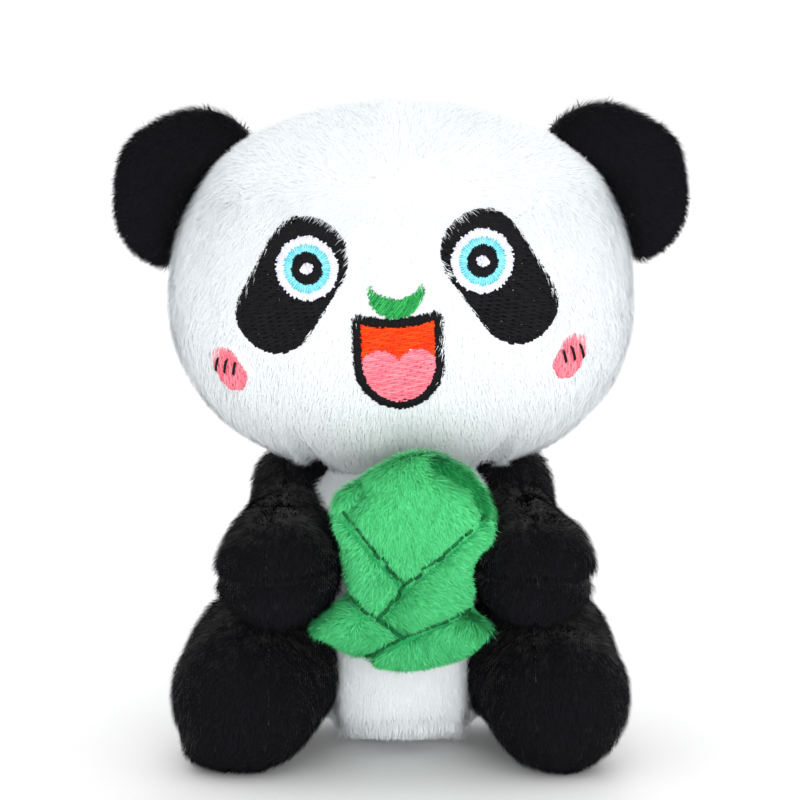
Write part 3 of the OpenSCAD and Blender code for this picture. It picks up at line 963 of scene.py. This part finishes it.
def torso_dents(points):
    """Depth of the torso's seams and of the fold across the lower belly"""
    x, y, z = points.T
    sides = near(y - side_seam_y, 1.2) * (z < collar_z)
    yoke = near(z - yoke_z, 1.2) * (y > side_seam_y)
    middle = near(x, 1.0) * (y > side_seam_y) * (z < yoke_z)
    fold = 0.56 * near(z - 7.5 - 0.05 * x, 0.9) * (y < -10)
    return 0.6 * np.maximum(np.maximum(sides, yoke), middle) + fold


crease(torso_form, torso_dents)
above_base = ((0, 0, base_z + seam), (0, 0, -1))
behind = ((0, side_seam_y + seam, 0), (0, -1, 0))
low_back = (above_base, behind, ((0, 0, yoke_z - seam), (0, 0, 1)))
torso_parts = {
    "belly_panel": cut(torso_form, above_base, ((0, side_seam_y - seam, 0), (0, 1, 0))),
    "back_yoke": cut(torso_form, behind, ((0, 0, yoke_z + seam), (0, 0, -1))),
    "back_panel_left": cut(torso_form, *low_back, ((seam, 0, 0), (-1, 0, 0))),
    "back_panel_right": cut(torso_form, *low_back, ((-seam, 0, 0), (1, 0, 0))),
    "base_panel": cut(torso_form, ((0, 0, base_z - seam), (0, 0, 1))),
}
fibres = {
    "belly_panel": 27000, "back_yoke": 15000, "back_panel_left": 12000, "back_panel_right": 12000,
    "base_panel": 5000,
}


def under_cover(roots):
    """True on the neck ball, which is inside the head and has no room for pile"""
    return roots[:, 2] > 55


for number, (name, part) in enumerate(torso_parts.items()):
    black = name == "back_yoke"
    slot = "black_plush" if black else "white_plush"
    panel(name + "_knit", part, black_knit if black else knit_white, slot, "torso", name)
    fibre_l = 1.3 if name == "base_panel" else 2.0
    pile(name + "_pile", part, fibres[name], fibre_l, brushed(0, 0, -1), pile_black if black else pile_white,
         slot, "torso", 51 + number, width=black_w if black else 0.06, bare=under_cover)

torso_skin = BVHTree.FromBMesh(torso_form)
ladder = []
for z in np.arange(18, 33, 2.0):
    for x in (-1.2, 1.2):
        ladder.append(struck(torso_skin, (x, 60, z), (0, -1, 0)))
white_sewing = thread_finish("white_sewing_thread", colour(205, 205, 202), colour(232, 232, 230), 0.6)
green_sewing = thread_finish("green_sewing_thread", colour(6, 74, 36), colour(16, 104, 54), 0.55)
sew("back_closing_stitches", [a + b for a, b in zip(ladder[::2], ladder[1::2])], 0.2, white_sewing,
    "white_thread", "torso", "back_closing_stitch", width=0.3, height=0.3)

# ---- Arms and legs ----
# Each limb is a bag of black plush in two panels with a seam round it, turned, filled and sewn to
# the torso at its root. The filled fabric folds across each paw, and the soles are flat.


def limb(name, form, body, seam_at, seam_out, dents, count, seed, way):
    """A stuffed limb in an outer and an inner panel, with its fill and pile"""
    side = body.split("_")[1]
    out = np.array(seam_out)
    stuff(form, 2.2, 0.9, seams=lambda p: near((p - seam_at) @ out, 1.3))
    filling(f"{name}_fibre_fill_{side}", form, body, f"{name}_stuffing_{side}", inset=3)
    form = finer(form)
    crease(form, lambda p: 0.2 * near((p - seam_at) @ out, 0.8) + dents(p))
    for facing, part_name in ((1, "outer"), (-1, "inner")):
        part = cut(form, (Vector(seam_at) + facing * seam * Vector(seam_out), Vector(seam_out) * -facing))
        start = f"{name}_{part_name}"
        panel(f"{start}_panel_{side}", part, black_knit, "black_plush", body, f"{start}_{side}")
        pile(f"{start}_pile_{side}", part, count, 2.1, way, pile_black, "black_plush", body,
             seed + facing, width=black_w)


paw_rise, leg_gap, sole_z = 41.8, 12.2, 2
for side, name in ((1, "left"), (-1, "right")):
    shoulder = joint(f"arm_swing_{name}")[0]
    paw = Vector((side * 24.6 + 0.9, -32, paw_rise - 1.6))
    top = Vector((side * 20.5, 1.5, 50.5))
    root = shoulder + Vector((-side, -3, 0))
    arm = plump(((top, 9.6), (root, 9.3), (shoulder.lerp(paw, 0.6), 9.7), (paw, 10.5)))
    shape = places(arm)
    shape[:, 0] += 0.15 * np.clip((-12 - shape[:, 1]) / 10, 0, 1) * (shape[:, 0] - paw.x)
    move(arm, shape)

    def arm_dents(points, side=side):
        """Depth of the fold across the paw and of the one inside the elbow"""
        x, y, z = points.T
        slant = 0.06 * side * (x - 25 * side)
        fold = near(z - paw_rise + 1.5 + slant, 1.2) * np.clip((-24 - y) / 8, 0, 1)
        elbow = near(y + 17 - 0.4 * (z - 46), 1.6) * np.clip((side * x - 22) / 8, 0, 1)
        return 1.5 * fold + 0.8 * elbow + 0.35 * waves(61, 18)(points)

    limb("arm", arm, f"arm_{name}", shoulder, (side * 0.996, 0.089, 0), arm_dents, 15000, 62 + 5 * side,
         brushed(0, -0.3, -0.85))

    hip = joint(f"leg_splay_{name}")[0]
    foot = Vector((side * 30, -26.5, 14.3))
    thigh = hip.lerp(foot, 0.5) + Vector((side * 1.5, 0, 2.5))
    leg = plump(((hip, 13.8), (thigh, 15.4), (foot, 14.3)), passes=9)
    x, y, z = places(leg).T
    inward = leg_gap - side * x
    push = np.where(inward > -2, np.maximum(inward + 2, 0) ** 2 / (np.maximum(inward, 0) + 4), 0)
    x = x + side * np.clip((2 - y) / 6, 0, 1) * push
    spread = (6.3 if side < 0 else 0.5) * np.clip(1 - z / 9, 0, 1) ** 1.5
    x = x + side * spread * np.clip((side * x - 30) / 8, 0, 1)
    z = np.where(z < sole_z, 0.3 + 1.7 * np.exp((z - sole_z) / 1.7), z)
    move(leg, np.stack([x, y, z], 1))

    def leg_dents(points):
        """Slack in the leg's fabric"""
        return 0.4 * waves(71, 20)(points)

    limb("leg", leg, f"leg_{name}", ((hip.x + foot.x) / 2, 0, 0), (side, 0, 0), leg_dents, 21000,
         72 + 5 * side, brushed(side * 0.1, -0.3, -0.85))

# ---- Bamboo shoot ----
# The shoot is a front and a back panel of green plush, sewn round and filled. Dark green lockstitch
# goes right through it and draws the crossed edges of its husk leaves.

shoot_y = -37
shoot_middle = np.array([1.2, 38.0])
shoot_half_t = 8.8
# corners of the cut edge of the shoot's pattern piece, anticlockwise from its foot
right_edge = (
    (7.2, 24.6), (12.4, 26.4), (17.4, 30.6), (13.4, 33.6), (12.6, 37), (12.6, 42), (13.8, 46), (16.6, 49),
)
tip_edge = (
    (17.8, 52.6), (15.3, 58.2), (12.2, 61.4), (7, 63.9), (1.9, 64.3), (-3.6, 62.3), (-8.2, 58.9), (-12.2, 56),
)
left_edge = (
    (-12.8, 52.8), (-10.6, 48), (-10.4, 43), (-9.6, 37.5), (-12.8, 34), (-17, 30.6), (-12.2, 27.2),
    (-6.6, 25), (1.9, 23.1),
)
shoot_pattern = np.array(right_edge + tip_edge + left_edge)


def shoot_outline(angle):
    """Distance from the shoot's middle to its cut edge: a broad tip, a waist and two pointed leaves"""
    x, z = (shoot_pattern - shoot_middle).T
    return np.interp(angle, np.arctan2(z, x), np.hypot(x, z), period=2 * math.pi)


leaf_edges = (
    ((-11, 53), (0.5, 40.5)), ((15.6, 52.8), (0.7, 40.5)), ((-9, 36.6), (0.2, 30)),
    ((12, 34.8), (0.1, 29.9)), ((0.7, 40.5), (-4.8, 33.5)), ((0.1, 29.9), (-6.4, 25.6)),
)
husk_folds = (((5, 62.6), (12, 58.4)), ((12, 58.4), (15.6, 51.5)), ((-7.4, 58.6), (-11, 53)))


def to_edge(points, edge):
    """Distance of each point of the shoot's front from one leaf edge"""
    a, b = np.array(edge[0], float), np.array(edge[1], float)
    flat = points[:, [0, 2]] - a
    t = np.clip(flat @ (b - a) / ((b - a) @ (b - a)), 0, 1)
    return np.linalg.norm(flat - t[:, None] * (b - a), axis=1)


def shoot_dents(points):
    """Depth of the stitched grooves, of the seam and of the folds at the waist"""
    front = points[:, 1] < shoot_y
    grooves = np.max([near(to_edge(points, edge), 1.5) for edge in leaf_edges], axis=0)
    folds = np.max([near(to_edge(points, edge), 1.1) for edge in husk_folds], axis=0)
    rim = near(points[:, 1] - shoot_seam(points), 0.9)
    return 1.3 * grooves * front + 1.5 * folds * front + 0.5 * rim + 0.35 * waves(81, 11)(points)


def shoot_seam(points):
    """Depth of the shoot's side seam, which comes forward on the toy's left"""
    return shoot_y - 0.14 * points[:, 0]


shoot = pillow(shoot_outline, shoot_half_t, 0.85)
bmesh.ops.translate(shoot, vec=(shoot_middle[0], shoot_y, shoot_middle[1]), verts=shoot.verts)
shoot.normal_update()
stuff(shoot, 1.5, 0.6, seams=lambda p: near(p[:, 1] - shoot_y, 1.2))
filling("shoot_fibre_fill", shoot, "shoot", "shoot_stuffing", inset=2.6)
shoot = finer(shoot)
crease(shoot, shoot_dents)
knit_green = knit_finish("green_knit", colour(34, 160, 92), colour(50, 184, 110))
# The green pile's deep colour is where both its random tone and the painted shade of the lower and husk
# leaves take its fibres
pile_green = pile_finish("green_pile", colour(0, 154, 74), colour(112, 252, 166), 0.0, rough=0.7,
                         dark_tone=0.45, deep=colour(0, 124, 58))
seam_way = Vector((0.14, 1, 0)).normalized()
shoot_front = cut(shoot, ((0, shoot_y - seam, 0), seam_way))
shoot_back = cut(shoot, ((0, shoot_y + seam, 0), -seam_way))
panel("shoot_front_panel", shoot_front, knit_green, "green_plush", "shoot", "shoot_front")
panel("shoot_back_panel", shoot_back, knit_green, "green_plush", "shoot", "shoot_back")


def side_of(points, edge):
    """Positive on the left of a leaf edge as it runs, in the front view"""
    a, b = np.array(edge[0], float), np.array(edge[1], float)
    flat = points[:, [0, 2]] - a
    return (b - a)[0] * flat[:, 1] - (b - a)[1] * flat[:, 0]


def leaf_comb(roots, up):
    """Each husk leaf is brushed its own way: up the tip, down and out on the lower leaves"""
    top = (side_of(roots, leaf_edges[0]) > 0) & (side_of(roots, leaf_edges[1]) < 0)
    low_left = side_of(roots, leaf_edges[2]) < 0
    right = (side_of(roots, leaf_edges[1]) > 0) & (side_of(roots, leaf_edges[3]) < 0)
    way = np.tile([-0.35, 0.0, -0.9], (len(roots), 1))
    way[top] = (0, 0, -1)
    way[top, 0] = 0.25 + (roots[top, 0] - 2) * 0.03
    way[right] = (0.8, 0, -0.5)
    way[low_left & ~top & ~right] = (-0.75, 0, -0.6)
    foot = roots[:, 2] < 30.5
    way[foot] = (0, 0, -0.7)
    way[foot, 0] = 0.7 * np.tanh((roots[foot, 0] - 1) / 6)
    return way


def in_groove(roots):
    """True right under the lockstitch"""
    return (np.min([to_edge(roots, edge) for edge in leaf_edges], axis=0) < 0.8) & (roots[:, 1] < shoot_y)


def shoot_painted_shade(roots):
    """Painted shade: the lower leaves are coloured darker than the tip, as if lit from above, and the back
    husk leaf beside the tip is coloured darker as if in shade
    """
    husk = (side_of(roots, husk_folds[0]) > 0) | (side_of(roots, husk_folds[1]) > 0)
    return 0.016 * (58 - roots[:, 2]) + 1.3 * (husk & (roots[:, 2] > 50) & (roots[:, 0] > 4))


# the front pile gets painted shade, darker low down and on the back husk leaf
pile("shoot_front_pile", shoot_front, 42000, 2.0, leaf_comb, pile_green, "green_plush", "shoot", 82,
     lean=1.3, width=0.09, tuft=1.6, stray=0.3, strand=1.2, bare=in_groove, painted_shade=shoot_painted_shade)
pile("shoot_back_pile", shoot_back, 11000, 2.0, brushed(0, 0, -1), pile_green, "green_plush", "shoot",
     83, width=0.09)

shoot_skin = BVHTree.FromBMesh(shoot)
locks = []
for edge in leaf_edges:
    a, b = (np.array(end, float) for end in edge)
    length = np.linalg.norm(b - a)
    for start in np.arange(0, length - 0.6, 1.7):
        pair = []
        for t in (start, min(start + 2.1, length)):
            spot = a + (b - a) * t / length
            pair += struck(shoot_skin, (spot[0], -100, spot[1]), (0, 1, 0))
        locks.append(tuple(pair))
sew("shoot_lockstitches", locks, 1.2, green_sewing, "green_thread", "shoot", "shoot_topstitching",
    width=0.36, height=0.36)

# ---- Tail ----
# The tail is a small round bag of white plush, gathered over fibre fill at its root.

tail_root = joint("tail_wag")[0]
tail = plump(((tail_root, 6.0), (tail_root + Vector((0, 3.5, 1)), 6.3)))
filling("tail_fibre_fill", tail, "tail", "tail_stuffing")
tail = finer(tail)
panel("tail_knit", tail, knit_white, "white_plush", "tail", "tail_panel")
pile("tail_pile", tail, 9000, 2.1, brushed(0, 0.5, -0.8), pile_white, "white_plush", "tail", 91)

# ---- Hidden threads and stabiliser ----
# The gathered neck, the ladder stitch round it, the tacks in the paws and the stiffener behind the
# face keep their worked shapes and get their thread and felt.

for name, material in (("neck_gather_thread", white_sewing), ("neck_ladder_stitch", white_sewing),
                       ("paw_tacks", green_sewing), ("face_stabiliser", fill_material)):
    frame["nodes"][name].data.materials.clear()
    frame["nodes"][name].data.materials.append(material)

# ---- Studio ----
# A pale seamless floor, broad soft light from the front and above, and a long lens a little above
# the toy's middle.

camera_distance = 0.70
camera_lift = math.radians(9)
aim_point = Vector((-0.0004, 0, 0.0686))
film_w, picture_w = 36, 0.160
floor_r = 6000

scene = bpy.context.scene
scene.view_settings.view_transform = "Standard"
camera = bpy.data.objects.new("camera", bpy.data.cameras.new("camera"))
camera.data.sensor_width = film_w
camera.data.lens = camera_distance * film_w / picture_w
back = Vector((0, -math.cos(camera_lift), math.sin(camera_lift)))
camera.location = aim_point + back * camera_distance
camera.rotation_euler = (-back).to_track_quat("-Z", "Y").to_euler()
scene.collection.objects.link(camera)
scene.camera = camera

ground = bmesh.new()
bmesh.ops.create_circle(ground, segments=64, radius=floor_r, cap_ends=True)
floor = as_object("floor", ground)
material, _, _ = finish("floor", Base_Color=(0.97, 0.97, 0.97, 1), Roughness=0.7)
floor.data.materials.append(material)

for name, place, size, watts in (
    ("key_light", (0.05, -0.7, 0.8), 0.5, 0.4),
    ("fill_light", (0.15, -0.85, 0.05), 0.6, 5.4),
    ("back_light", (0.2, 0.8, 0.8), 0.6, 1.4),
):
    light = bpy.data.lights.new(name, "AREA")
    light.shape = "DISK"
    light.size = size
    light.energy = watts
    made = bpy.data.objects.new(name, light)
    made.location = place
    made.rotation_euler = (Vector((0, 0, 0.07)) - Vector(place)).to_track_quat("-Z", "Y").to_euler()
    scene.collection.objects.link(made)

room = bpy.data.worlds.new("room")
room.use_nodes = True
glow = room.node_tree.nodes["Background"]
glow.inputs["Color"].default_value = (1, 1, 1, 1)
glow.inputs["Strength"].default_value = 1.04
scene.world = room
